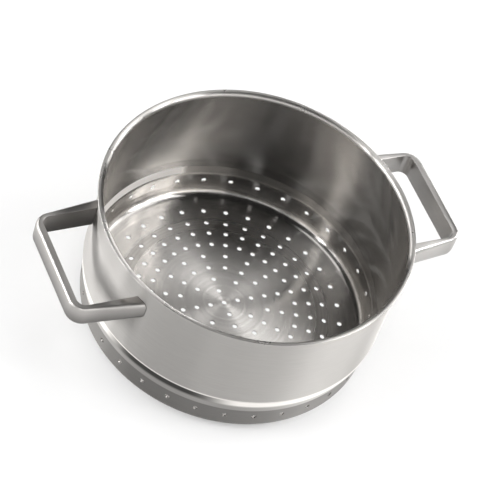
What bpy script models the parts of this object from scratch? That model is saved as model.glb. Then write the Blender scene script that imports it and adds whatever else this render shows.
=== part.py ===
"""Steamer insert: a deep-drawn steel pan with a perforated base and skirt, an outward
lip, and two side loop handles, each joined to the wall by a weld at both arm ends.

Metres, +Z up. The origin is the centre of the base on the floor, and the handles lie
along X.
"""

import math

import bmesh
import bpy
from mathutils import Matrix, Vector

# Sheet and clearances
SHEET = 0.0012
FIT_GAP = 0.0003
CUT_OVERRUN = 0.0040
MERGE_DISTANCE = 0.00001

# Base: a domed disc that stands over a flat resting ring, with a slope between them
DISC_RADIUS = 0.0775
DISC_CENTRE_HEIGHT = 0.0038
DISC_EDGE_HEIGHT = 0.0019
SLOPE_WIDTH = 0.0100
DOME_STEPS = 3

# Wall: skirt, two-stage shoulder, straight wall and lip, all on the outside
CORNER_RADIUS = 0.0095
SKIRT_RADIUS = 0.1186
SHOULDER_START_HEIGHT = 0.0242
SHOULDER_RISE = 0.0076
SHOULDER_STEP = 0.0024
SHOULDER_BEND_RADIUS = 0.0040
TAPER_RISE = 0.0089
TAPER_STEP = 0.0010
RIM_HEIGHT = 0.1208
LIP_REACH = 0.0036
LIP_BEND_RADIUS = 0.0023

# Holes
HOLE_DIAMETER = 0.0040
HOLE_SIDES = 8
DISC_EDGE_MARGIN = 0.0055
DISC_RING_COUNTS = (4, 8, 16, 16, 32, 32)
OUTER_RING_COUNT = 32
SLOPE_RING_SHARE = 0.63
FLAT_RING_SHARE = 0.44
SKIRT_HOLE_COUNT = 32
PATTERN_TURN = math.radians(-1.25)

# Handles: a bar with flat inner and top faces, an eased upper edge outside and a round
# underside, bent to a U, its arms tapering from the wall to the bends
HANDLE_SPAN = 0.0852
FINGER_ROOM = 0.0387
HANDLE_DROP = 0.0282
INNER_BEND_RADIUS = 0.0070
OUTER_BEND_RADIUS = 0.0130
BAR_HEIGHT = 0.0204
GRIP_THICKNESS = 0.0065
ARM_OVERRUN = 0.0220
ARM_ROOT_THICKNESS = 0.0088
ARM_END_THICKNESS = 0.0034
TOP_EASE_SHARE = 0.33
TOP_DROP_SHARE = 0.50
UNDER_ROUND_SHARE = 0.90
EASE_STEPS = 3
UNDER_STEPS = 5

# Welds
WELD_THICKNESS = 0.0008
WELD_INSET = 0.0005

# Roundness
TURN_SEGMENTS = 64
BEND_STEP = math.radians(30)
HANDLE_BEND_STEP = math.radians(17)

# Sizes that follow from the ones above
WALL_RADIUS = SKIRT_RADIUS + SHOULDER_STEP + TAPER_STEP
FLAT_START = DISC_RADIUS + SLOPE_WIDTH
FLAT_END = SKIRT_RADIUS - CORNER_RADIUS
DISC_RING_PITCH = (DISC_RADIUS - DISC_EDGE_MARGIN) / len(DISC_RING_COUNTS)
SLOPE_RING_RADIUS = DISC_RADIUS + SLOPE_RING_SHARE * SLOPE_WIDTH
FLAT_RING_RADIUS = FLAT_START + FLAT_RING_SHARE * (FLAT_END - FLAT_START)
SKIRT_HOLE_HEIGHT = (CORNER_RADIUS + SHOULDER_START_HEIGHT) / 2
HANDLE_HEIGHT = RIM_HEIGHT - HANDLE_DROP
HANDLE_REACH = WALL_RADIUS + FINGER_ROOM
ARM_START = WALL_RADIUS - ARM_OVERRUN
HANDLE_SIDE = HANDLE_SPAN / 2
FACET_TURN = PATTERN_TURN - math.pi / TURN_SEGMENTS


def new_collection(name):
    """An empty collection in the scene."""
    collection = bpy.data.collections.new(name)
    bpy.context.scene.collection.children.link(collection)
    return collection


def steel(name, colour, roughness):
    """A bare metal material."""
    material = bpy.data.materials.new(name)
    material.use_nodes = True
    shader = material.node_tree.nodes["Principled BSDF"]
    shader.inputs["Base Color"].default_value = (*colour, 1.0)
    shader.inputs["Metallic"].default_value = 1.0
    shader.inputs["Roughness"].default_value = roughness
    material.diffuse_color = (*colour, 1.0)
    return material


def add_object(name, data, collection):
    """An object that shows the given mesh or curve."""
    shown = bpy.data.objects.new(name, data)
    collection.objects.link(shown)
    return shown


def add_cutter(name, mesh, collection, turn):
    """A helper solid, kept out of the render."""
    cutter = add_object(name, mesh, collection)
    cutter.rotation_euler.z = turn
    cutter.hide_render = True
    cutter.display_type = "WIRE"
    return cutter


def cut(target, cutter, operation):
    """Adds a Boolean to the target."""
    modifier = target.modifiers.new(cutter.name, "BOOLEAN")
    modifier.object = cutter
    modifier.operation = operation


def bend_points(before, corner, after, radius, step):
    """The points of the arc that rounds one corner of a flat path."""
    inward = (corner - before).normalized()
    outward = (after - corner).normalized()
    turn = inward.angle_signed(outward)
    if radius <= 0 or abs(turn) < math.radians(1):
        return [corner]
    start = corner - inward * radius * math.tan(abs(turn) / 2)
    normal = Vector((-inward.y, inward.x)) * (-1 if turn > 0 else 1)
    centre = start + normal * radius
    steps = max(1, round(abs(turn) / step))
    spoke = start - centre
    return [centre + Matrix.Rotation(-turn * i / steps, 2) @ spoke for i in range(steps + 1)]


def rounded(corners, radii, step=BEND_STEP):
    """The path through the corners, with every inner corner rounded to its radius."""
    path = [corners[0]]
    for i in range(1, len(corners) - 1):
        path += bend_points(*corners[i - 1 : i + 2], radii[i], step)
    return [*path, corners[-1]]


def offset_path(corners, radii, distance):
    """The path moved to its left by a distance, its bends kept concentric."""
    moved, moved_radii = [], []
    for i, corner in enumerate(corners):
        arrive = (corner - corners[i - 1]).normalized() if i else None
        leave = (corners[i + 1] - corner).normalized() if i + 1 < len(corners) else arrive
        arrive = arrive or leave
        half = (arrive + leave).normalized()
        across = Vector((-half.y, half.x))
        moved.append(corner + across * distance / half.dot(leave))
        turns_left = arrive.x * leave.y - arrive.y * leave.x > 0
        moved_radii.append(radii[i] - distance if turns_left else radii[i] + distance)
        if radii[i] == 0:
            moved_radii[-1] = 0
    moved[0].x = 0
    return moved, moved_radii


def sheet_corners():
    """The corners of the sheet's lower and outer face, from the axis to the lip, with their bend radii."""
    fall = DISC_CENTRE_HEIGHT - DISC_EDGE_HEIGHT
    corners, radii = [], []
    for step in range(DOME_STEPS + 1):
        share = step / DOME_STEPS
        corners.append(Vector((DISC_RADIUS * share, DISC_CENTRE_HEIGHT - fall * share**2)))
        radii.append(0)
    shoulder_radius = SKIRT_RADIUS + SHOULDER_STEP
    shoulder_height = SHOULDER_START_HEIGHT + SHOULDER_RISE
    lip_underside = RIM_HEIGHT - SHEET
    for radius, height, bend in (
        (FLAT_START, 0, 0),
        (SKIRT_RADIUS, 0, CORNER_RADIUS),
        (SKIRT_RADIUS, SHOULDER_START_HEIGHT, SHOULDER_BEND_RADIUS),
        (shoulder_radius, shoulder_height, SHOULDER_BEND_RADIUS),
        (WALL_RADIUS, shoulder_height + TAPER_RISE, 0),
        (WALL_RADIUS, lip_underside, LIP_BEND_RADIUS),
        (WALL_RADIUS + LIP_REACH - SHEET / 2, lip_underside, 0),
    ):
        corners.append(Vector((radius, height)))
        radii.append(bend)
    return corners, radii


def shell_profile():
    """The closed sheet section: inner face from the axis to the lip, lip edge, outer face back to the axis."""
    corners, radii = sheet_corners()
    outer = rounded(corners, radii)
    inner = rounded(*offset_path(corners, radii, SHEET))
    edge_middle = (inner[-1] + outer[-1]) / 2 + Vector((SHEET / 2, 0))
    return [*inner, edge_middle, *reversed(outer)]


def shell_mesh():
    """The section as a line of edges in the XZ plane."""
    shape = bmesh.new()
    points = [shape.verts.new((point.x, 0, point.y)) for point in shell_profile()]
    for first, second in zip(points, points[1:]):
        shape.edges.new((first, second))
    mesh = bpy.data.meshes.new("pressed_shell")
    shape.to_mesh(mesh)
    shape.free()
    return mesh


def drill_mesh(name, places, length):
    """A drill for each place, its axis along the place's Z."""
    shape = bmesh.new()
    for place in places:
        bmesh.ops.create_cone(
            shape,
            cap_ends=True,
            segments=HOLE_SIDES,
            radius1=HOLE_DIAMETER / 2,
            radius2=HOLE_DIAMETER / 2,
            depth=length,
            matrix=place,
        )
    mesh = bpy.data.meshes.new(name)
    shape.to_mesh(mesh)
    shape.free()
    return mesh


def base_hole_places():
    """Upright places for the holes in the base, ring by ring."""
    height = (DISC_CENTRE_HEIGHT + SHEET) / 2
    rings = [(DISC_RING_PITCH * (i + 1), count) for i, count in enumerate(DISC_RING_COUNTS)]
    rings += [(SLOPE_RING_RADIUS, OUTER_RING_COUNT), (FLAT_RING_RADIUS, OUTER_RING_COUNT)]
    places = [Matrix.Translation((0, 0, height))]
    for radius, count in rings:
        for i in range(count):
            turn = Matrix.Rotation(math.tau * i / count, 4, "Z")
            places.append(turn @ Matrix.Translation((radius, 0, height)))
    return places


def skirt_hole_places():
    """Level places for the holes round the skirt, pointing away from the axis."""
    places = []
    for i in range(SKIRT_HOLE_COUNT):
        turn = Matrix.Rotation(math.tau * i / SKIRT_HOLE_COUNT, 4, "Z")
        reach = Matrix.Translation((SKIRT_RADIUS - SHEET / 2, 0, SKIRT_HOLE_HEIGHT))
        places.append(turn @ reach @ Matrix.Rotation(math.pi / 2, 4, "Y"))
    return places


def add_shell(parts, cutters, material):
    """The pressed pan: a turned sheet with its holes cut through."""
    shell = add_object("pressed_shell", shell_mesh(), parts)
    shell.rotation_euler.z = FACET_TURN
    shell.data.materials.append(material)
    screw = shell.modifiers.new("turn", "SCREW")
    screw.steps = screw.render_steps = TURN_SEGMENTS
    screw.use_merge_vertices = True
    screw.merge_threshold = MERGE_DISTANCE
    screw.use_smooth_shade = True
    base_length = DISC_CENTRE_HEIGHT + SHEET + 2 * CUT_OVERRUN
    base_drills = drill_mesh("base_drills", base_hole_places(), base_length)
    skirt_drills = drill_mesh("skirt_drills", skirt_hole_places(), SHEET + 2 * CUT_OVERRUN)
    for mesh in (base_drills, skirt_drills):
        cut(shell, add_cutter(mesh.name, mesh, cutters, PATTERN_TURN), "DIFFERENCE")


def arm_thickness(x):
    """The arm's thickness at its edges, which falls evenly from the wall outward."""
    share = (x - WALL_RADIUS) / (HANDLE_REACH - WALL_RADIUS)
    return ARM_ROOT_THICKNESS + (ARM_END_THICKNESS - ARM_ROOT_THICKNESS) * share


def handle_outline(reach, depth, bend):
    """One edge of the U seen from above: the reach of its grip, and the depth of its arms' faces by x."""
    ends = [(ARM_START, -1), (reach, -1), (reach, 1), (ARM_START, 1)]
    corners = [Vector((x, side * (HANDLE_SIDE + depth(x)))) for x, side in ends]
    return rounded(corners, (0, bend, bend, 0), HANDLE_BEND_STEP)


def arc_points(centre, radius, first, last, steps):
    """Points on an arc in the section's plane."""
    angles = [first + (last - first) * i / steps for i in range(steps + 1)]
    return [centre + Vector((math.cos(angle), math.sin(angle))) * radius for angle in angles]


def bar_outline(thickness, height):
    """The bar's closed outline as depth from the inner face and level from mid-height."""
    half = height / 2
    ease, drop = TOP_EASE_SHARE * thickness, TOP_DROP_SHARE * thickness
    turn = 2 * math.atan(ease / drop)
    ease_radius = drop / math.sin(turn)
    under = UNDER_ROUND_SHARE * thickness
    upper = Vector((thickness - ease_radius, half - drop))
    lower = Vector((thickness - under, under - half))
    outline = [Vector((0, -half)), Vector((0, half))]
    outline += arc_points(upper, ease_radius, turn, 0, EASE_STEPS)
    return outline + arc_points(lower, under, 0, -math.pi / 2, UNDER_STEPS)


def bar_section(inner, outer, inset):
    """The outline carried to a place on the bar and drawn in all round."""
    across = (outer - inner).normalized()
    outline = bar_outline((outer - inner).length - 2 * inset, BAR_HEIGHT - 2 * inset)
    return [(*(inner + across * (point.x + inset)), point.y) for point in outline]


def lofted_bar_mesh(name, inner_path, outer_path, inset):
    """The bar as a closed mesh through its changing sections."""
    shape = bmesh.new()
    rings = []
    for inner, outer in zip(inner_path, outer_path):
        rings.append([shape.verts.new(point) for point in bar_section(inner, outer, inset)])
    for first, second in zip(rings, rings[1:]):
        for i in range(len(first)):
            shape.faces.new((first[i - 1], first[i], second[i], second[i - 1]))
    shape.faces.new(rings[0])
    shape.faces.new(rings[-1])
    bmesh.ops.recalc_face_normals(shape, faces=shape.faces)
    mesh = bpy.data.meshes.new(name)
    shape.to_mesh(mesh)
    shape.free()
    mesh.shade_smooth()
    mesh.set_sharp_from_angle(angle=BEND_STEP)
    return mesh


def round_cutter(name, radius, collection):
    """An upright cylinder as high as the pan, with the wall's own facets."""
    shape = bmesh.new()
    bmesh.ops.create_cone(
        shape,
        cap_ends=True,
        segments=TURN_SEGMENTS,
        radius1=radius,
        radius2=radius,
        depth=RIM_HEIGHT,
        matrix=Matrix.Translation((0, 0, RIM_HEIGHT / 2)),
    )
    mesh = bpy.data.meshes.new(name)
    shape.to_mesh(mesh)
    shape.free()
    return add_cutter(name, mesh, collection, FACET_TURN)


def add_handles(parts, cutters, material):
    """Both handles, their arm ends cut to follow the wall."""
    inner = handle_outline(HANDLE_REACH, lambda x: 0, INNER_BEND_RADIUS)
    outer = handle_outline(HANDLE_REACH + GRIP_THICKNESS, arm_thickness, OUTER_BEND_RADIUS)
    mesh = lofted_bar_mesh("handle", inner, outer, 0)
    mesh.materials.append(material)
    seat_radius = WALL_RADIUS + WELD_THICKNESS + 2 * FIT_GAP
    seat = round_cutter("handle_seat", seat_radius, cutters)
    for name, turn in (("right_handle", 0), ("left_handle", math.pi)):
        handle = add_object(name, mesh, parts)
        handle.location.z = HANDLE_HEIGHT
        handle.rotation_euler.z = turn
        cut(handle, seat, "DIFFERENCE")


def add_welds(parts, cutters, material):
    """The weld beads that fill the joint between each arm end and the wall."""
    outer = round_cutter("weld_outer", WALL_RADIUS + FIT_GAP + WELD_THICKNESS, cutters)
    inner = round_cutter("weld_inner", WALL_RADIUS + FIT_GAP, cutters)
    for end, side in (("front", -HANDLE_SIDE), ("rear", HANDLE_SIDE)):
        flat_face = [Vector((x, side)) for x in (ARM_START, HANDLE_REACH)]
        outward = Vector((0, math.copysign(1, side)))
        round_face = [point + outward * arm_thickness(point.x) for point in flat_face]
        mesh = lofted_bar_mesh("weld_" + end, flat_face, round_face, WELD_INSET)
        mesh.materials.append(material)
        for handle, turn in (("right", 0), ("left", math.pi)):
            weld = add_object(f"weld_{handle}_{end}", mesh, parts)
            weld.location.z = HANDLE_HEIGHT
            weld.rotation_euler.z = turn
            cut(weld, outer, "INTERSECT")
            cut(weld, inner, "DIFFERENCE")


def main():
    """Clears the scene and models the steamer insert."""
    for old in list(bpy.data.objects):
        bpy.data.objects.remove(old)
    parts = new_collection("steamer_insert")
    cutters = new_collection("cutters")
    brushed = steel("brushed_steel", (0.60, 0.59, 0.57), 0.34)
    polished = steel("polished_steel", (0.64, 0.63, 0.61), 0.24)
    weld = steel("weld_steel", (0.36, 0.35, 0.34), 0.50)
    add_shell(parts, cutters, brushed)
    add_handles(parts, cutters, polished)
    add_welds(parts, cutters, weld)


main()
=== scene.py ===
"""Looks of the steamer insert: a turned and punched steel pan, two loop handles and their four
weld joints, on a white studio floor. Metres, +Z up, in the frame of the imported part."""

from __future__ import annotations

import logging
import math
from collections.abc import Callable, Iterator, Mapping, Sequence
from dataclasses import dataclass, field, replace
from enum import Enum
from typing import Any

import bmesh
import bpy
from mathutils import Matrix, Vector

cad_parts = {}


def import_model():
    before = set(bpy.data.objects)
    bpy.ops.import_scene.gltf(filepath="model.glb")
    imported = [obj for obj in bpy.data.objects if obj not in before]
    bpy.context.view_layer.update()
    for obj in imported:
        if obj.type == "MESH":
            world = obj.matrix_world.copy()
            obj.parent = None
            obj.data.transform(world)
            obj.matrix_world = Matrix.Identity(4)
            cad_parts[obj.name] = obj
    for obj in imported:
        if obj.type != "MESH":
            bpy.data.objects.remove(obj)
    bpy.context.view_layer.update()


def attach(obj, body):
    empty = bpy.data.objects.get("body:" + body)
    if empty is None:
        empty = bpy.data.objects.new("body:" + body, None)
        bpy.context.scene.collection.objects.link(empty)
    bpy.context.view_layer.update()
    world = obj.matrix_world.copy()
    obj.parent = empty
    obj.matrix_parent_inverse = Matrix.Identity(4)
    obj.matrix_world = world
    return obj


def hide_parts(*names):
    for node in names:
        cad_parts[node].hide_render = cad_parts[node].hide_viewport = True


LOG = logging.getLogger("steamer_insert")
Colour = tuple[float, float, float]
Path = list[Vector]
MERGE_DISTANCE = 0.000001
SHARP_ANGLE = math.radians(28)
FIXED_STEPS = 14
LEAST_TURN = math.radians(1)


# Shader graph


class Grain(Enum):
    """Which way a finish is brushed."""

    AROUND = "around the pan's axis"
    ALONG = "along the handle's bar"


@dataclass(frozen=True)
class Value:
    """An output socket that can be used in sums."""

    graph: ShaderGraph
    socket: bpy.types.NodeSocket

    def __add__(self, other: Operand) -> Value:
        """This value plus another."""
        return self.graph.maths("ADD", self, other)

    def __radd__(self, other: Operand) -> Value:
        """A number plus this value."""
        return self.graph.maths("ADD", other, self)

    def __sub__(self, other: Operand) -> Value:
        """This value less another."""
        return self.graph.maths("SUBTRACT", self, other)

    def __rsub__(self, other: Operand) -> Value:
        """A number less this value."""
        return self.graph.maths("SUBTRACT", other, self)

    def __mul__(self, other: Operand) -> Value:
        """This value times another."""
        return self.graph.maths("MULTIPLY", self, other)

    def __rmul__(self, other: Operand) -> Value:
        """A number times this value."""
        return self.graph.maths("MULTIPLY", other, self)

    def __truediv__(self, other: Operand) -> Value:
        """This value over another."""
        return self.graph.maths("DIVIDE", self, other)

    def __rtruediv__(self, other: Operand) -> Value:
        """A number over this value."""
        return self.graph.maths("DIVIDE", other, self)

    def __pow__(self, other: Operand) -> Value:
        """This value raised to a power."""
        return self.graph.maths("POWER", self, other)

    def clamp(self) -> Value:
        """The value held between 0 and 1."""
        return self.graph.maths("ADD", self, 0.0, clamp=True)


Operand = Value | float


class ShaderGraph:
    """A material under construction."""

    def __init__(self, name: str) -> None:
        """Makes the empty material.

        Args:
            name: The material's name.
        """
        self.material = bpy.data.materials.new(name)
        self.material.use_nodes = True
        self.tree = self.material.node_tree
        self.tree.nodes.clear()

    def node(
        self,
        kind: str,
        settings: Mapping[str, Any] | None = None,
        inputs: Mapping[str | int, Any] | None = None,
        output: str | int = 0,
    ) -> Value:
        """Adds one node: its settings first, then its sockets.

        Args:
            kind: The node's type, without its prefix.
            settings: Properties of the node.
            inputs: Values or links for its input sockets.
            output: The output socket to return.

        Returns:
            The chosen output.
        """
        made = self.tree.nodes.new("ShaderNode" + kind)
        for key, setting in (settings or {}).items():
            setattr(made, key, setting)
        for key, value in (inputs or {}).items():
            if isinstance(value, Value):
                self.tree.links.new(value.socket, made.inputs[key])
            else:
                made.inputs[key].default_value = value
        return Value(self, made.outputs[output])

    def maths(self, operation: str, *operands: Operand, clamp: bool = False) -> Value:
        """One Math node on the operands in order, held between 0 and 1 if clamp is set."""
        settings = {"operation": operation, "use_clamp": clamp}
        return self.node("Math", settings, dict(enumerate(operands)))

    def position(self) -> tuple[Value, Value, Value]:
        """The surface point in object coordinates.

        Returns:
            Its x, y and z.
        """
        place = self.node("TexCoord", output="Object")
        split = self.node("SeparateXYZ", inputs={0: place})
        return tuple(Value(self, socket) for socket in split.socket.node.outputs)

    def radius(self) -> Value:
        """The surface point's distance from the pan's axis."""
        x, y, _ = self.position()
        return self.maths("SQRT", x * x + y * y)

    def vector(self, x: Operand, y: Operand, z: Operand) -> Value:
        """A vector from its three parts."""
        return self.node("CombineXYZ", inputs={0: x, 1: y, 2: z})

    def noise(self, place: Value, detail: float = 2.0, roughness: float = 0.5) -> Value:
        """Smooth noise from 0 to 1, with features about one unit across."""
        inputs = {"Vector": place, "Scale": 1.0, "Detail": detail, "Roughness": roughness}
        return self.node("TexNoise", inputs=inputs, output="Fac")

    def step(self, value: Value, low: float, high: float) -> Value:
        """A smooth step: 0 where the value is at low, 1 where it is at high."""
        inputs = {"Value": value, "From Min": low, "From Max": high}
        return self.node("MapRange", {"interpolation_type": "SMOOTHSTEP"}, inputs)

    def mix_colour(self, share: Operand, first: Any, second: Any) -> Value:
        """A mix of two colours, with the given share of the second."""
        inputs = {0: share, 6: first, 7: second}
        return self.node("Mix", {"data_type": "RGBA"}, inputs, output=2)

    def finish(self, surface: Value) -> bpy.types.Material:
        """Sends a shader to the output.

        Args:
            surface: The shader.

        Returns:
            The finished material.
        """
        output = self.tree.nodes.new("ShaderNodeOutputMaterial")
        self.tree.links.new(surface.socket, output.inputs["Surface"])
        return self.material


def rgba(colour: Colour, gain: float = 1.0) -> tuple[float, float, float, float]:
    """A colour for a socket.

    Args:
        colour: Red, green and blue.
        gain: A factor for all three.

    Returns:
        The colour with full alpha.
    """
    return (*(part * gain for part in colour), 1.0)


# Finishes


@dataclass(frozen=True)
class PaintedLightBand:
    """Painted reflection and painted shade in the sheet's colour from one height up, darker on one
    side of the pan and brighter on the others.

    The dark side is an azimuth in degrees. A point takes the bright factor where the cosine of its
    angle from there is under low, and the dark factor where it is over high.
    """

    start: float
    painted_dark: float
    bright: float
    low: float = 0.50
    high: float = 1.00
    painted_dark_side: float = 225.0
    softness: float = 0.0005

    def painted_dark_share(self, graph: ShaderGraph) -> Value:
        """How far a point lies on the side where the painted reflection is dark.

        Args:
            graph: The material's graph.

        Returns:
            0 where the painted reflection is bright, 1 where it is dark.
        """
        x, y, _ = graph.position()
        side = math.radians(self.painted_dark_side)
        towards = (x * math.cos(side) + y * math.sin(side)) / graph.radius()
        return graph.step(towards, self.low, self.high)

    def reached(self, graph: ShaderGraph) -> Value:
        """Whether a point is as high as the band's lower edge: 0 below it, 1 above it."""
        _, _, z = graph.position()
        return graph.step(z, self.start - self.softness, self.start + self.softness)


@dataclass(frozen=True)
class SteelFinish:
    """Bare stainless steel with brush marks, cloudy patches in tone and gloss and a few fine
    scratches; its colour can also carry painted reflections and painted shade, in bands on the pan
    and on the handles.
    """

    name: str
    grain: Grain
    colour: Colour
    roughness: float
    anisotropy: float
    marks_per_metre: float = 900.0
    mark_stretch: float = 5.0
    mark_depth: float = 0.000004
    mark_contrast: float = 0.10
    roughness_spread: float = 0.10
    cloud_size: float = 0.030
    cloud_contrast: float = 0.05
    base_roughness: float | None = None
    base_radius: float = 0.108
    base_fade: float = 0.003
    ring_fade: float = 0.004
    ring_spacing: float = 0.0030
    ring_contrast: float = 0.0
    ring_depth: float = 0.0
    # Bands of painted reflection and painted shade in the colour, outside and inside.
    outside_painted_light: tuple[PaintedLightBand, ...] = ()
    inside_painted_light: tuple[PaintedLightBand, ...] = ()
    outside_roughness: float | None = None
    rim_roughness: float | None = None
    rim_height: float = 0.1165
    rim_fade: float = 0.001
    facing_limit: float = 0.3
    groove_turn: float = 0.25
    ledge_matte: float = 0.0
    # Painted shade and painted light on a handle: its inner face, its arms and low down.
    inner_face_painted_shade: float = 1.0
    arm_painted_light: float = 1.0
    arm_span: tuple[float, float] = (0.140, 0.158)
    under_painted_shade: float = 1.0
    under_height: tuple[float, float] = (0.0, 1.0)

    def material(self) -> bpy.types.Material:
        """Builds the material.

        Returns:
            The material.
        """
        graph = ShaderGraph(self.name)
        marks, fine = self.brush_marks(graph)
        x, y, z = graph.position()
        per_metre = 1.0 / self.cloud_size
        cloud = graph.noise(graph.vector(x * per_metre, y * per_metre, z * per_metre), 3.0)
        tone = 1.0 + (marks - 0.5) * self.mark_contrast + (cloud - 0.5) * self.cloud_contrast
        relief_height = marks + fine
        # Painted reflections and painted shade in the sheet's colour, band by band.
        if self.outside_painted_light:
            tone = tone * self.sheet_painted_light(graph)
        if self.ring_contrast > 0.0:
            rings = self.turning_rings(graph)
            tone = tone * (1.0 + (rings - 0.5) * self.ring_contrast)
            relief_height = relief_height + rings * (self.ring_depth / self.mark_depth)
        # Painted shade and painted light on a handle.
        if self.inner_face_painted_shade < 1.0:
            tone = tone * self.handle_shade(graph)
        colour = graph.mix_colour(tone / 2.0, rgba(self.colour, 0.0), rgba(self.colour, 2.0))
        rough = self.roughness + (marks - 0.5) * self.roughness_spread
        if self.base_roughness is not None:
            within = graph.step(
                graph.radius(), self.base_radius + self.base_fade, self.base_radius
            )
            rough = rough + within * (self.base_roughness - self.roughness)
        if self.outside_roughness is not None:
            rough = rough + self.outward(graph) * (self.outside_roughness - rough)
        if self.rim_roughness is not None:
            near_rim = graph.step(z, self.rim_height, self.rim_height + self.rim_fade)
            rough = rough + near_rim * (self.rim_roughness - rough)
            relief_height = relief_height * (1.0 - near_rim)
        rough = (rough + (cloud - 0.5) * self.roughness_spread).clamp()
        relief = graph.node(
            "Bump", inputs={"Strength": 1.0, "Distance": self.mark_depth, "Height": relief_height}
        )
        # The ledge turns matte where it carries its painted highlight.
        metallic = 1.0 - self.matte_ledge(graph) * self.ledge_matte if self.ledge_matte else 1.0
        shader = graph.node(
            "BsdfPrincipled",
            inputs={
                "Base Color": colour,
                "Metallic": metallic,
                "Roughness": rough,
                "Anisotropic": self.anisotropy,
                "Anisotropic Rotation": self.groove_turn,
                "Normal": relief,
            },
        )
        return graph.finish(shader)

    def outward(self, graph: ShaderGraph) -> Value:
        """Which faces are on the pan's outside.

        Args:
            graph: The material's graph.

        Returns:
            1 outside, 0 inside.
        """
        x, y, _ = graph.position()
        normal = graph.node("NewGeometry", output="Normal")
        radial = graph.vector(x, y, 0.0)
        facing = graph.node(
            "VectorMath", {"operation": "DOT_PRODUCT"}, {0: normal, 1: radial}, "Value"
        )
        return graph.step(facing / graph.radius(), 0.0, self.facing_limit)

    def band_painted_light(self, graph: ShaderGraph, bands: Sequence[PaintedLightBand]) -> Operand:
        """The painted reflection and painted shade on one face of the sheet, band by band from the
        floor up.

        Args:
            graph: The material's graph.
            bands: The bands in order.

        Returns:
            A factor for the colour.
        """
        shade: Operand = 1.0
        for band in bands:
            tone = band.bright + band.painted_dark_share(graph) * (band.painted_dark - band.bright)
            shade = shade + band.reached(graph) * (tone - shade)
        return shade

    def sheet_painted_light(self, graph: ShaderGraph) -> Value:
        """The painted reflection and painted shade on both faces of the sheet.

        Args:
            graph: The material's graph.

        Returns:
            A factor for the colour.
        """
        inside = self.band_painted_light(graph, self.inside_painted_light)
        outside = self.band_painted_light(graph, self.outside_painted_light)
        return inside + self.outward(graph) * (outside - inside)

    def matte_ledge(self, graph: ShaderGraph) -> Value:
        """Where the ledge inside the shoulder is matte: the side where the first inside band
        paints its highlight, so that the painted highlight shows as matte white.

        Args:
            graph: The material's graph.

        Returns:
            1 on the matte stretch, 0 elsewhere.
        """
        ledge, above = self.inside_painted_light[:2]
        on_ledge = ledge.reached(graph) * (1.0 - above.reached(graph))
        bright = 1.0 - ledge.painted_dark_share(graph)
        return bright * on_ledge * (1.0 - self.outward(graph))

    def turning_rings(self, graph: ShaderGraph) -> Value:
        """The rings that turning leaves on the base.

        Args:
            graph: The material's graph.

        Returns:
            A pattern of rings, from 0 to 1, even away from the base.
        """
        radius = graph.radius()
        rings = graph.noise(graph.vector(radius / self.ring_spacing, 0.0, 0.0), 4.0, 0.65)
        within = graph.step(radius, self.base_radius, self.base_radius - self.ring_fade)
        return 0.5 + (rings - 0.5) * within

    def handle_shade(self, graph: ShaderGraph) -> Value:
        """The painted shade on a handle's inner face and low down, and the painted light or
        painted shade on its arms.

        Args:
            graph: The material's graph.

        Returns:
            A factor for the colour.
        """
        inner = graph.node("Attribute", {"attribute_name": "inner_face"}, output="Fac")
        x, _, z = graph.position()
        rise = graph.step(z, *self.under_height)
        under = self.under_painted_shade + rise * (1.0 - self.under_painted_shade)
        start, end = self.arm_span
        on_arm = graph.step(graph.maths("ABSOLUTE", x), end, start)
        arm = 1.0 + on_arm * (self.arm_painted_light - 1.0)
        return (1.0 + inner * (self.inner_face_painted_shade - 1.0)) * under * arm

    def brush_marks(self, graph: ShaderGraph) -> tuple[Value, Value]:
        """The brush marks, broad ones and fine ones.

        Args:
            graph: The material's graph.

        Returns:
            Two patterns of lines, from 0 to 1.
        """
        x, y, z = graph.position()
        if self.grain is Grain.AROUND:
            radius = graph.radius()
            across = radius + z
            first, second = x / radius * self.mark_stretch, y / radius * self.mark_stretch
        else:
            across = z
            first, second = x / self.cloud_size, y / self.cloud_size
        broad = graph.noise(graph.vector(across * self.marks_per_metre, first, second), 3.0, 0.7)
        spacing = self.marks_per_metre * 4.0
        fine = graph.noise(graph.vector(across * spacing, first * 2.0, second * 2.0), 1.0)
        return broad, fine


@dataclass(frozen=True)
class WeldFinish:
    """Dull grey weld metal."""

    name: str = "weld_steel"
    colour: Colour = (0.22, 0.215, 0.21)
    roughness: float = 0.55
    grain_size: float = 0.0006
    grit_contrast: float = 0.4
    grit_strength: float = 0.5
    grit_depth: float = 0.00005
    roughness_spread: float = 0.2

    def material(self) -> bpy.types.Material:
        """Builds the material.

        Returns:
            The material.
        """
        graph = ShaderGraph(self.name)
        x, y, z = (part / self.grain_size for part in graph.position())
        grit = graph.noise(graph.vector(x, y, z), 4.0, 0.6)
        dark, light = 1.0 - self.grit_contrast, 1.0 + self.grit_contrast
        colour = graph.mix_colour(grit, rgba(self.colour, dark), rgba(self.colour, light))
        bump = {"Strength": self.grit_strength, "Distance": self.grit_depth, "Height": grit}
        relief = graph.node("Bump", inputs=bump)
        inputs = {
            "Base Color": colour,
            "Metallic": 1.0,
            "Roughness": self.roughness + (grit - 0.5) * self.roughness_spread,
            "Normal": relief,
        }
        return graph.finish(graph.node("BsdfPrincipled", inputs=inputs))


# Flat paths


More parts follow.
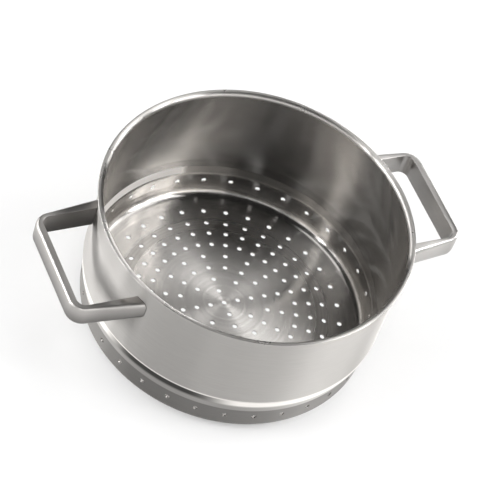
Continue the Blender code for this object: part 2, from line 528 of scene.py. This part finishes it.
def bend_points(before: Vector, corner: Vector, after: Vector, radius: float, step: float) -> Path:
    """The arc that rounds one corner of a flat path.

    Args:
        before: The corner before.
        corner: The corner itself.
        after: The corner after.
        radius: The bend's radius.
        step: The largest turn between two points, or 0 for a fixed number of points.

    Returns:
        The arc's points, or the corner where it has no bend.
    """
    inward = (corner - before).normalized()
    outward = (after - corner).normalized()
    turn = math.atan2(inward.x * outward.y - inward.y * outward.x, inward.dot(outward))
    if radius <= 0 or abs(turn) < LEAST_TURN:
        return [corner]
    start = corner - inward * radius * math.tan(abs(turn) / 2)
    centre = start + Vector((-inward.y, inward.x)) * math.copysign(radius, turn)
    spoke = start - centre
    steps = max(2, math.ceil(abs(turn) / step)) if step > 0 else FIXED_STEPS
    return [centre + Matrix.Rotation(turn * i / steps, 2) @ spoke for i in range(steps + 1)]


def rounded(
    corners: Sequence[Vector], radii: Sequence[float], step: float, closed: bool = False
) -> Path:
    """The path through the corners, each rounded to its radius.

    Args:
        corners: The corners in order.
        radii: One bend radius for each.
        step: The largest turn between two points, or 0 for a fixed number of points.
        closed: Whether the path runs on from its last corner to its first.

    Returns:
        The path's points.
    """
    count = len(corners)
    path: Path = []
    for i, corner in enumerate(corners):
        if not closed and i in (0, count - 1):
            path.append(corner)
            continue
        path += bend_points(corners[i - 1], corner, corners[(i + 1) % count], radii[i], step)
    return path


def offset_path(
    corners: Sequence[Vector], radii: Sequence[float], distance: float
) -> tuple[Path, list[float]]:
    """The path moved to its left, its bends kept concentric.

    Args:
        corners: The corners in order.
        radii: One bend radius for each.
        distance: How far it moves.

    Returns:
        The moved corners and their radii.
    """
    moved: Path = []
    moved_radii: list[float] = []
    for i, corner in enumerate(corners):
        leave = (corners[min(i + 1, len(corners) - 1)] - corner).normalized()
        arrive = (corner - corners[max(i - 1, 0)]).normalized()
        leave, arrive = leave if leave.length else arrive, arrive if arrive.length else leave
        half = (arrive + leave).normalized()
        moved.append(corner + Vector((-half.y, half.x)) * distance / half.dot(leave))
        turns_left = arrive.x * leave.y - arrive.y * leave.x > 0
        radius = radii[i] - distance if turns_left else radii[i] + distance
        moved_radii.append(radius if radii[i] else 0.0)
    return moved, moved_radii


def arc(centre: Vector, radius: float, first: float, last: float, steps: int) -> Path:
    """Points on an arc.

    Args:
        centre: Its centre.
        radius: Its radius.
        first: The angle where it starts.
        last: The angle where it ends.
        steps: How many steps it takes.

    Returns:
        The points.
    """
    angles = [first + (last - first) * i / steps for i in range(steps + 1)]
    return [centre + Vector((math.cos(angle), math.sin(angle))) * radius for angle in angles]


def spun(points: Sequence[tuple[float, float]], closed: bool, steps: int) -> bmesh.types.BMesh:
    """A section turned once round the upright axis.

    Args:
        points: The section as (radius, height).
        closed: Whether its last point joins its first.
        steps: How many steps the turn takes.

    Returns:
        The turned shape.
    """
    shape = bmesh.new()
    verts = [shape.verts.new((radius, 0, height)) for radius, height in points]
    pairs = zip([verts[-1], *verts], verts) if closed else zip(verts, verts[1:])
    edges = [shape.edges.new(pair) for pair in pairs]
    bmesh.ops.spin(
        shape,
        geom=[*verts, *edges],
        cent=(0, 0, 0),
        axis=(0, 0, 1),
        angle=math.tau,
        steps=steps,
        use_merge=True,
    )
    return shape


def mesh_object(name: str, shape: bmesh.types.BMesh) -> bpy.types.Object:
    """Turns a finished bmesh into a smooth-shaded object at the origin.

    Args:
        name: The object's name.
        shape: The geometry, which is freed.

    Returns:
        The object, linked to the scene.
    """
    bmesh.ops.remove_doubles(shape, verts=shape.verts, dist=MERGE_DISTANCE)
    bmesh.ops.recalc_face_normals(shape, faces=shape.faces)
    mesh = bpy.data.meshes.new(name)
    shape.to_mesh(mesh)
    shape.free()
    mesh.shade_smooth()
    mesh.set_sharp_from_angle(angle=SHARP_ANGLE)
    made = bpy.data.objects.new(name, mesh)
    bpy.context.scene.collection.objects.link(made)
    return made


def dress(piece: bpy.types.Object, node: str, material: bpy.types.Material) -> None:
    """Gives a piece its material and ties it to the frame.

    Args:
        piece: The piece.
        node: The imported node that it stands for.
        material: Its finish.
    """
    piece.data.materials.clear()
    piece.data.materials.append(material)
    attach(piece, "root")
    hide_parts(node)
    LOG.info("%s: %d faces, finish %s", piece.name, len(piece.data.polygons), material.name)


# Pan


@dataclass(frozen=True)
class HoleRing:
    """Holes spaced evenly round the axis."""

    radius: float
    count: int


@dataclass(frozen=True)
class PressedShell:
    """The pan: one sheet, turned to its section and punched."""

    sheet: float = 0.0012
    disc_radius: float = 0.0775
    disc_centre_height: float = 0.0038
    disc_edge_height: float = 0.0019
    slope_width: float = 0.0100
    corner_radius: float = 0.0095
    skirt_radius: float = 0.1186
    shoulder_start: float = 0.0242
    shoulder_rise: float = 0.0076
    shoulder_step: float = 0.0024
    shoulder_bend: float = 0.0030
    crease_bend: float = 0.0014
    bead_height: float = 0.0010
    bead_reach: float = 0.00022
    taper_rise: float = 0.0089
    taper_step: float = 0.0010
    rim_height: float = 0.1208
    lip_reach: float = 0.0036
    lip_bend: float = 0.0023
    hole_radius: float = 0.0020
    foot_bend: float = 0.0015
    disc_bend: float = 0.0025
    taper_bend: float = 0.0008
    crest_bend: float = 0.0002
    crest_share: float = 0.4
    edge_steps: int = 8
    hole_sides: int = 20
    hole_flare: float = 0.00010
    drill_overrun: float = 0.0006
    slope_probe: float = 0.0005
    pattern_turn: float = math.radians(-1.25)
    steps_round: int = 256
    dome_steps: int = 14
    bend_step: float = math.radians(7)
    rings: tuple[HoleRing, ...] = (
        HoleRing(0.0120, 4),
        HoleRing(0.0240, 8),
        HoleRing(0.0360, 16),
        HoleRing(0.0480, 16),
        HoleRing(0.0600, 32),
        HoleRing(0.0720, 32),
        HoleRing(0.0838, 32),
        HoleRing(0.09696, 32),
    )
    skirt_holes: int = 32
    finish: SteelFinish = SteelFinish(
        name="brushed_shell_steel",
        grain=Grain.AROUND,
        colour=(0.506, 0.490, 0.471),
        roughness=0.17,
        anisotropy=1.0,
        roughness_spread=0.06,
        base_roughness=0.25,
        mark_contrast=0.18,
        ring_contrast=0.85,
        ledge_matte=1.0,
        ring_depth=0.000012,
        outside_roughness=0.40,
        rim_roughness=0.28,
        # Painted light outside: a darker skirt and shoulder, a taper painted dark on one side and
        # bright on the others, a painted highlight round the bead and a wall darker on one side.
        outside_painted_light=(
            PaintedLightBand(0.0, 0.37, 0.60),
            PaintedLightBand(0.0250, 0.62, 1.05),
            PaintedLightBand(0.0335, 0.10, 1.80, low=0.86, high=0.985, painted_dark_side=219.0, softness=0.0018),
            PaintedLightBand(0.0398, 1.60, 1.60),
            PaintedLightBand(0.0414, 0.78, 1.10),
        ),
        # Painted light inside: a painted highlight on the ledge away from azimuth 5 degrees,
        # painted shade above it, and the wall left unchanged.
        inside_painted_light=(
            PaintedLightBand(0.0262, 0.62, 1.98, low=0.10, high=0.18, painted_dark_side=5.0),
            PaintedLightBand(0.0328, 0.85, 0.85),
            PaintedLightBand(0.0400, 1.0, 1.0),
        ),
    )

    @property
    def wall_radius(self) -> float:
        """The straight wall's outer radius."""
        return self.skirt_radius + self.shoulder_step + self.taper_step

    def lower_face(self, beaded: bool) -> tuple[Path, list[float]]:
        """The sheet's lower and outer face, from the centre hole to the lip.

        Args:
            beaded: Whether the fine bead above the taper is there, which only the outside has.

        Returns:
            Its corners as (radius, height), and their bend radii.
        """
        fall = self.disc_centre_height - self.disc_edge_height
        start = self.hole_radius + self.hole_flare
        corners: Path = []
        for i in range(self.dome_steps + 1):
            radius = start + (self.disc_radius - start) * i / self.dome_steps
            height = self.disc_centre_height - fall * (radius / self.disc_radius) ** 2
            corners.append(Vector((radius, height)))
        shoulder = self.skirt_radius + self.shoulder_step
        shoulder_top = self.shoulder_start + self.shoulder_rise
        taper_top = shoulder_top + self.taper_rise
        crest_height = taper_top + self.bead_height * self.crest_share
        crest = (self.wall_radius + self.bead_reach, crest_height, self.crest_bend)
        bead = (crest, (self.wall_radius, taper_top + self.bead_height, 0.0)) if beaded else ()
        underside = self.rim_height - self.sheet
        bends = (
            (self.disc_radius + self.slope_width, 0.0, self.foot_bend),
            (self.skirt_radius, 0.0, self.corner_radius),
            (self.skirt_radius, self.shoulder_start, self.shoulder_bend),
            (shoulder, shoulder_top, self.crease_bend),
            (self.wall_radius, taper_top, self.taper_bend),
            *bead,
            (self.wall_radius, underside, self.lip_bend),
            (self.wall_radius + self.lip_reach - self.sheet / 2, underside, 0.0),
        )
        radii = [0.0] * self.dome_steps + [self.disc_bend] + [bend for _, _, bend in bends]
        return corners + [Vector((r, z)) for r, z, _ in bends], radii

    def section(self) -> Path:
        """The sheet's closed section.

        Returns:
            Its points as (radius, height).
        """
        outer = rounded(*self.lower_face(True), self.bend_step)
        inner = rounded(*offset_path(*self.lower_face(False), self.sheet), self.bend_step)
        inner[0].x = outer[0].x
        half = self.sheet / 2
        middle = (inner[-1] + outer[-1]) / 2
        turns = [math.pi * i / self.edge_steps for i in range(1, self.edge_steps)]
        edge = [middle + Matrix.Rotation(turn, 2) @ Vector((0, -half)) for turn in turns]
        inside = Vector((self.hole_radius, 0))
        rise = Vector((0, self.hole_flare))
        bore = [inside + Vector((0, inner[0].y)) - rise, inside + Vector((0, outer[0].y)) + rise]
        return [*outer, *edge, *reversed(inner), *bore]

    def turned(self) -> bpy.types.Object:
        """The sheet turned round the axis, before its holes are cut."""
        section = [(point.x, point.y) for point in self.section()]
        return mesh_object("pan_shell", spun(section, True, self.steps_round))

    def drill(self) -> bpy.types.Mesh:
        """One drill: a bore that flares at both faces of the sheet.

        Its origin is on the inner face, and +Z points inward.

        Returns:
            The drill's mesh.
        """
        over = self.drill_overrun
        bore, flare = self.hole_radius, self.hole_flare
        wide = bore + flare + over
        low = -self.sheet
        section = (
            (0, low - over),
            (wide, low - over),
            (bore, low + flare),
            (bore, -flare),
            (wide, over),
            (0, over),
        )
        shape = spun(section, False, self.hole_sides)
        bmesh.ops.remove_doubles(shape, verts=shape.verts, dist=MERGE_DISTANCE)
        bmesh.ops.recalc_face_normals(shape, faces=shape.faces)
        mesh = bpy.data.meshes.new("drill")
        shape.to_mesh(mesh)
        shape.free()
        return mesh

    def inner_height(self, radius: float) -> float:
        """The height of the base's inner face.

        Args:
            radius: Distance from the axis.

        Returns:
            The height.
        """
        fall = self.disc_centre_height - self.disc_edge_height
        beyond = (radius - self.disc_radius) / self.slope_width
        low = self.disc_centre_height - fall * min(radius / self.disc_radius, 1.0) ** 2
        return self.sheet + low - self.disc_edge_height * min(max(beyond, 0.0), 1.0)

    def hole_places(self) -> Iterator[Matrix]:
        """Where the holes are.

        Yields:
            A place for each drill.
        """
        for ring in self.rings:
            reach = self.slope_probe
            rise = self.inner_height(ring.radius + reach) - self.inner_height(ring.radius - reach)
            tilt = Matrix.Rotation(-math.atan2(rise, 2 * reach), 4, "Y")
            spot = Matrix.Translation((ring.radius, 0, self.inner_height(ring.radius))) @ tilt
            for i in range(ring.count):
                yield Matrix.Rotation(self.pattern_turn + math.tau * i / ring.count, 4, "Z") @ spot
        height = (self.corner_radius + self.shoulder_start) / 2
        spot = Matrix.Translation((self.skirt_radius - self.sheet, 0, height))
        spot = spot @ Matrix.Rotation(-math.pi / 2, 4, "Y")
        for i in range(self.skirt_holes):
            turn = self.pattern_turn + math.tau * i / self.skirt_holes
            yield Matrix.Rotation(turn, 4, "Z") @ spot

    def drills(self) -> bpy.types.Object:
        """All the drills in one object.

        Returns:
            The object.
        """
        drill = self.drill()
        shape = bmesh.new()
        for place in self.hole_places():
            known = len(shape.verts)
            shape.from_mesh(drill)
            shape.verts.ensure_lookup_table()
            bmesh.ops.transform(shape, matrix=place, verts=shape.verts[known:])
        mesh = bpy.data.meshes.new("drills")
        shape.to_mesh(mesh)
        shape.free()
        bpy.data.meshes.remove(drill)
        made = bpy.data.objects.new("drills", mesh)
        bpy.context.scene.collection.objects.link(made)
        return made

    def build(self) -> bpy.types.Object:
        """Turns, punches and dresses the pan.

        Returns:
            The pan.
        """
        pan, drills = self.turned(), self.drills()
        boolean = pan.modifiers.new("punch", "BOOLEAN")
        boolean.object = drills
        boolean.operation = "DIFFERENCE"
        boolean.solver = "MANIFOLD"
        bpy.context.view_layer.update()
        graph = bpy.context.evaluated_depsgraph_get()
        punched = bpy.data.meshes.new_from_object(pan.evaluated_get(graph))
        pan.modifiers.clear()
        pan.data = punched
        punched.name = "pan_shell"
        punched.shade_smooth()
        punched.set_sharp_from_angle(angle=SHARP_ANGLE)
        bpy.data.objects.remove(drills)
        dress(pan, "pressed_shell", self.finish.material())
        return pan


# Handles


@dataclass(frozen=True)
class LoopHandle:
    """A bar bent to a U, with arms that taper outward.

    It is flat inside and on top, and eased and rounded outside.
    """

    side: str
    turn: float
    span: float = 0.0852
    reach: float = 0.1607
    height: float = 0.0926
    inner_bend: float = 0.0070
    outer_bend: float = 0.0130
    bar_height: float = 0.0204
    grip_thickness: float = 0.0065
    arm_start: float = 0.1000
    root_thickness: float = 0.0088
    end_thickness: float = 0.0034
    ease_share: float = 0.33
    drop_share: float = 0.50
    under_share: float = 0.90
    edge_round: float = 0.0005
    edge_step: float = math.radians(22)
    ease_steps: int = 7
    under_steps: int = 10
    seat_radius: float = 0.1226
    wall_radius: float = 0.1220
    weld_inset: float = 0.0004
    finish: SteelFinish = SteelFinish(
        name="brushed_handle_steel",
        grain=Grain.ALONG,
        colour=(0.500, 0.484, 0.468),
        roughness=0.32,
        anisotropy=0.80,
        mark_depth=0.000001,
        # Painted shade on the inner face and low down, and painted light on the arms.
        inner_face_painted_shade=0.66,
        arm_painted_light=1.18,
        under_painted_shade=0.85,
        under_height=(0.084, 0.103),
    )
    weld_finish: WeldFinish = WeldFinish()

    def arm_thickness(self, x: float) -> float:
        """The arm's thickness at x, which falls evenly from the wall outward."""
        share = (x - self.wall_radius) / (self.reach - self.wall_radius)
        return self.root_thickness + (self.end_thickness - self.root_thickness) * share

    def outline(self, reach: float, depth: Callable[[float], float], bend: float) -> Path:
        """One edge of the U seen from above.

        Args:
            reach: How far out the grip's face is.
            depth: How deep the arm's face is at a distance.
            bend: The radius of both bends.

        Returns:
            The outline's points.
        """
        ends = ((self.arm_start, -1), (reach, -1), (reach, 1), (self.arm_start, 1))
        corners = [Vector((x, side * (self.span / 2 + depth(x)))) for x, side in ends]
        return rounded(corners, (0, bend, bend, 0), 0.0)

    def section(self, thickness: float, inset: float) -> Path:
        """The bar's section at one place.

        Args:
            thickness: Its thickness at the edges.
            inset: How far it is drawn in all round.

        Returns:
            Points as (distance from the inner face, height).
        """
        half = self.bar_height / 2 - inset
        size = thickness - 2 * inset
        ease, drop = self.ease_share * size, self.drop_share * size
        turn = 2 * math.atan(ease / drop)
        bend = drop / math.sin(turn)
        under = self.under_share * size
        corners = [Vector((0, -half)), Vector((0, half))]
        corners += arc(Vector((size - bend, half - drop)), bend, turn, 0.0, self.ease_steps)
        under_centre = Vector((size - under, under - half))
        corners += arc(under_centre, under, 0.0, -math.pi / 2, self.under_steps)
        radii = [self.edge_round, self.edge_round, self.edge_round] + [0.0] * (len(corners) - 3)
        outline = rounded(corners, radii, self.edge_step, closed=True)
        return [point + Vector((inset, 0)) for point in outline]

    def ring(self, inner: Vector, outer: Vector, inset: float) -> Path:
        """The section carried to a place on the bar.

        Args:
            inner: The inner face's point, seen from above.
            outer: The outer face's point.
            inset: How far the section is drawn in.

        Returns:
            The ring's points.
        """
        across = (outer - inner).normalized()
        section = self.section((outer - inner).length, inset)
        return [Vector((*(inner + across * u), self.height + h)) for u, h in section]

    def seated(self, near: Path, far: Path, radius: float) -> Path:
        """A ring slid along the arm until it meets an upright cylinder.

        Args:
            near: The arm's ring nearer the axis.
            far: The arm's ring farther out.
            radius: The cylinder's radius.

        Returns:
            The ring on the cylinder.
        """
        ring: Path = []
        for start, end in zip(near, far):
            run = (end - start).to_2d()
            first = start.to_2d()
            a, b, c = run.dot(run), first.dot(run), first.dot(first) - radius**2
            share = (math.sqrt(b * b - a * c) - b) / a
            ring.append(start.lerp(end, share))
        return ring

    def loft(self, name: str, rings: Sequence[Path]) -> bpy.types.Object:
        """Joins rings into a closed bar.

        Args:
            name: The object's name.
            rings: The rings in order, all with as many points.

        Returns:
            The bar.
        """
        shape = bmesh.new()
        inner_face = shape.verts.layers.float.new("inner_face")
        turn = Matrix.Rotation(self.turn, 3, "Z")
        placed = [[shape.verts.new(turn @ point) for point in ring] for ring in rings]
        section = self.section(self.root_thickness, 0.0)
        on_inner = [point.x < self.edge_round / 4 for point in section]
        for ring in placed:
            for vert, share in zip(ring, on_inner):
                vert[inner_face] = float(share)
        for first, second in zip(placed, placed[1:]):
            for i in range(len(first)):
                shape.faces.new((first[i - 1], first[i], second[i], second[i - 1]))
        for end in (placed[0], placed[-1]):
            shape.faces.new(end)
        return mesh_object(name, shape)

    def build(self) -> list[bpy.types.Object]:
        """Builds and dresses the handle and its two welds.

        Returns:
            The three pieces.
        """
        inner = self.outline(self.reach, lambda x: 0.0, self.inner_bend)
        outer = self.outline(self.reach + self.grip_thickness, self.arm_thickness, self.outer_bend)
        rings = [self.ring(near, far, 0.0) for near, far in zip(inner, outer)]
        rings[0] = self.seated(rings[0], rings[1], self.seat_radius)
        rings[-1] = self.seated(rings[-1], rings[-2], self.seat_radius)
        handle = self.loft(f"{self.side}_handle_bar", rings)
        dress(handle, f"{self.side}_handle", self.finish.material())
        pieces = [handle]
        for end, places in (("front", (0, 1)), ("rear", (-1, -2))):
            near, far = (self.ring(inner[i], outer[i], self.weld_inset) for i in places)
            ends = [self.seated(near, far, r) for r in (self.wall_radius, self.seat_radius)]
            weld = self.loft(f"{self.side}_{end}_weld_joint", ends)
            dress(weld, f"weld_{self.side}_{end}", self.weld_finish.material())
            pieces.append(weld)
        return pieces


# Studio


@dataclass(frozen=True)
class Softbox:
    """A rectangular lamp that faces a point near the pan."""

    name: str
    azimuth: float
    elevation: float
    width: float
    height: float
    strength: float
    distance: float = 1.6
    colour: Colour = (1.0, 1.0, 1.0)
    aim: Colour = (0.0, 0.0, 0.06)

    def build(self) -> bpy.types.Object:
        """Hangs the lamp.

        Returns:
            The lamp.
        """
        around, up = math.radians(self.azimuth), math.radians(self.elevation)
        level = math.cos(up)
        away = Vector((level * math.cos(around), level * math.sin(around), math.sin(up)))
        data = bpy.data.lights.new(self.name, "AREA")
        data.shape = "RECTANGLE"
        data.size, data.size_y = self.width, self.height
        data.energy = self.strength * self.width * self.height * math.pi
        data.color = self.colour
        lamp = bpy.data.objects.new(self.name, data)
        bpy.context.scene.collection.objects.link(lamp)
        lamp.location = Vector(self.aim) + away * self.distance
        lamp.rotation_euler = away.to_track_quat("Z", "Y").to_euler()
        return lamp


@dataclass(frozen=True)
class LampRow:
    """Softboxes of one size that hang at one elevation."""

    elevation: float
    width: float
    height: float
    lamps: tuple[tuple[float, float], ...]

    def softboxes(self) -> Iterator[Softbox]:
        """The row's lamps.

        Yields:
            A softbox for each azimuth and strength.
        """
        for azimuth, strength in self.lamps:
            name = f"softbox_{self.elevation}_{azimuth}"
            yield Softbox(name, azimuth, self.elevation, self.width, self.height, strength)


@dataclass(frozen=True)
class Studio:
    """The camera, the white floor, the lamps and the room.

    The floor shows full white within its lit radius, so that the holes look white, glows faintly
    beyond it and keeps the shadow there, and goes back to full white over the fade.
    """

    eye: Colour = (-0.752037, -0.926523, 1.449345)
    aim: Colour = (0.022871, 0.021644, 0.040)
    roll: float = math.radians(21.282)
    lens: float = 167.691
    floor_size: float = 8.0
    floor_glow: float = 0.12
    floor_colour: float = 0.94
    lit_radius: float = 0.107
    lit_edge: float = 0.004
    fade: tuple[float, float] = (0.6, 1.3)
    clip: tuple[float, float] = (0.05, 30.0)
    room_level: float = 0.02
    rows: tuple[LampRow, ...] = (
        LampRow(
            6,
            0.56,
            0.42,
            (
                (0, 9.8),
                (40, 9.8),
                (240, 1.3),
                (260, 1.5),
                (280, 1.3),
                (300, 1.2),
            ),
        ),
        LampRow(
            22,
            0.53,
            0.44,
            (
                (110, 5.2),
                (130, 7.3),
                (150, 10.3),
                (190, 3.9),
                (210, 3.5),
                (230, 3.4),
                (250, 3.1),
                (270, 3.5),
                (290, 4.2),
                (350, 4.2),
            ),
        ),
        LampRow(
            22,
            0.14,
            0.44,
            (
                (162.5, 15.7),
                (167.5, 14.2),
                (177.5, 13.3),
            ),
        ),
        LampRow(
            38,
            0.50,
            0.44,
            (
                (0, 3.3),
            ),
        ),
        LampRow(
            38,
            0.14,
            0.44,
            (
                (177.5, 6.5),
                (307.5, 9.1),
                (317.5, 13.9),
                (330, 13.0),
                (335, 8.2),
            ),
        ),
        LampRow(
            54,
            0.49,
            0.44,
            (
                (15, 2.5),
                (45, 1.9),
                (345, 1.6),
            ),
        ),
        LampRow(
            54,
            0.14,
            0.44,
            (
                (317.5, 6.0),
            ),
        ),
        LampRow(
            70,
            0.49,
            0.44,
            (
                (102, 2.3),
            ),
        ),
    )

    def camera(self) -> bpy.types.Object:
        """Places the camera.

        Returns:
            The camera.
        """
        data = bpy.data.cameras.new("camera")
        data.lens = self.lens
        data.clip_start, data.clip_end = self.clip
        made = bpy.data.objects.new("camera", data)
        bpy.context.scene.collection.objects.link(made)
        eye = Vector(self.eye)
        forward = (Vector(self.aim) - eye).normalized()
        level = forward.cross(Vector((0, 0, 1))).normalized()
        above = level.cross(forward)
        right = level * math.cos(self.roll) + above * math.sin(self.roll)
        up = above * math.cos(self.roll) - level * math.sin(self.roll)
        turn = Matrix((right, up, -forward)).transposed().to_4x4()
        made.matrix_world = Matrix.Translation(eye) @ turn
        bpy.context.scene.camera = made
        return made

    def floor(self) -> bpy.types.Object:
        """Lays the white floor, which glows only as the camera, metal and glass see it.

        Returns:
            The floor.
        """
        shape = bmesh.new()
        bmesh.ops.create_grid(shape, x_segments=2, y_segments=2, size=self.floor_size / 2)
        floor = mesh_object("studio_floor", shape)
        graph = ShaderGraph("white_floor")
        paper = graph.node("BsdfDiffuse", inputs={"Color": rgba((self.floor_colour,) * 3)})
        glow = graph.node("Emission", inputs={"Color": rgba((1.0, 1.0, 1.0)), "Strength": 1.0})
        path = graph.node("LightPath", output="Is Camera Ray").socket.node.outputs
        seen = sum(
            (Value(graph, path[name]) for name in ("Is Glossy Ray", "Is Transmission Ray")),
            Value(graph, path["Is Camera Ray"]),
        )
        radius = graph.radius()
        outside = graph.step(radius, self.lit_radius, self.lit_radius + self.lit_edge)
        outside = outside * (1.0 - graph.step(radius, *self.fade))
        share = seen.clamp() * (1.0 - outside * (1.0 - self.floor_glow))
        surface = graph.node("MixShader", inputs={0: share, 1: paper, 2: glow})
        floor.data.materials.append(graph.finish(surface))
        return floor

    def room(self) -> None:
        """Sets the even grey of the room."""
        world = bpy.data.worlds.new("room")
        world.use_nodes = True
        sky = world.node_tree.nodes["Background"]
        sky.inputs["Color"].default_value = rgba((1.0, 1.0, 1.0))
        sky.inputs["Strength"].default_value = self.room_level
        bpy.context.scene.world = world

    def build(self) -> None:
        """Sets up everything that isn't the pan."""
        bpy.context.scene.view_settings.view_transform = "Standard"
        self.camera()
        self.floor()
        self.room()
        lamps = [lamp.build() for row in self.rows for lamp in row.softboxes()]
        LOG.info("studio: %d lamps, lens %.1f mm", len(lamps), self.lens)


# Main


@dataclass
class SteamerInsert:
    """The whole object."""

    shell: PressedShell = field(default_factory=PressedShell)
    right_handle: LoopHandle = LoopHandle("right", 0.0)
    left_handle: LoopHandle = LoopHandle(
        "left",
        math.pi,
        # A darker copy of the handle steel: painted shade all over, deeper on the inner face, the
        # arms and the underside.
        finish=replace(
            LoopHandle.finish,
            name="painted_shade_handle_steel",
            colour=(0.430, 0.414, 0.398),
            inner_face_painted_shade=0.60,
            arm_painted_light=0.76,
            under_painted_shade=0.40,
        ),
    )

    def build(self) -> list[bpy.types.Object]:
        """Builds every piece.

        Returns:
            The pieces.
        """
        pieces = [self.shell.build()]
        for handle in (self.right_handle, self.left_handle):
            pieces += handle.build()
        return pieces


def main() -> None:
    """Loads the frame, builds the studio and the looks, and logs how many pieces there are."""
    logging.basicConfig(level=logging.INFO, format="%(name)s: %(message)s")
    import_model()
    Studio().build()
    pieces = SteamerInsert().build()
    LOG.info("%d pieces", len(pieces))


if __name__ == "__main__":
    main()
